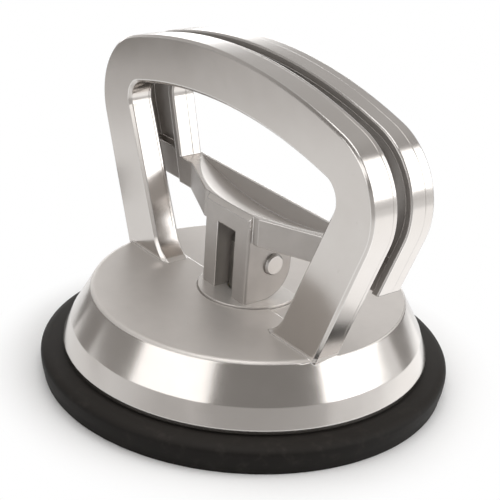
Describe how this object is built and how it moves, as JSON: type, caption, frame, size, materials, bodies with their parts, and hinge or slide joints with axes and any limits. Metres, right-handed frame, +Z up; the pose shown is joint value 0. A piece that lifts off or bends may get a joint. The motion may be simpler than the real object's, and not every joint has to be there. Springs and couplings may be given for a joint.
{
  "type": "suction lifter",
  "caption": "Floor tile suction lifter: a cast aluminium dome with a fixed D grip and a cam lever that draws up a black rubber cup.",
  "frame": {"origin": "centre of the rubber cup's sealing face, on the floor", "axes": "+Z up along the pull stud, +X along the hinge pin and both grips, +Y from the fixed grip towards the lever"},
  "size_m": [0.1216, 0.118, 0.0961],
  "materials": {
    "cast_aluminium": "satin, fine cast skin",
    "turned_steel": "turned",
    "pressed_steel": "zinc plated, satin",
    "spring_steel": "drawn wire",
    "brass": "turned",
    "black_rubber": "matte, moulded"
  },
  "bodies": {
    "root": {"body_casting": "cast_aluminium", "wear_washer": "pressed_steel", "guide_bush": "brass", "spring_seat": "pressed_steel", "return_spring": "spring_steel", "rubber_pad": "black_rubber"},
    "stud": {"pull_stud": "turned_steel", "lock_nut": "pressed_steel", "threaded_boss": "pressed_steel", "backing_plate": "pressed_steel"},
    "lever": {"lever_casting": "cast_aluminium", "hinge_pin": "turned_steel"}
  },
  "joints": [
    {"name": "stud_slide", "type": "slide", "parent": "root", "child": "stud", "axis": [0, 0, 1], "range_m": [-0.0039, 0], "deforming": ["return_spring", "rubber_pad"]},
    {"name": "lever_hinge", "type": "hinge", "parent": "stud", "child": "lever", "pos_m": [0, 0, 0.0368], "axis": [-1, 0, 0], "range_deg": [0, 75]}
  ],
  "couplings": [
    {"joint": "stud_slide", "follows": "lever_hinge", "m_per_rad": -0.0029}
  ]
}
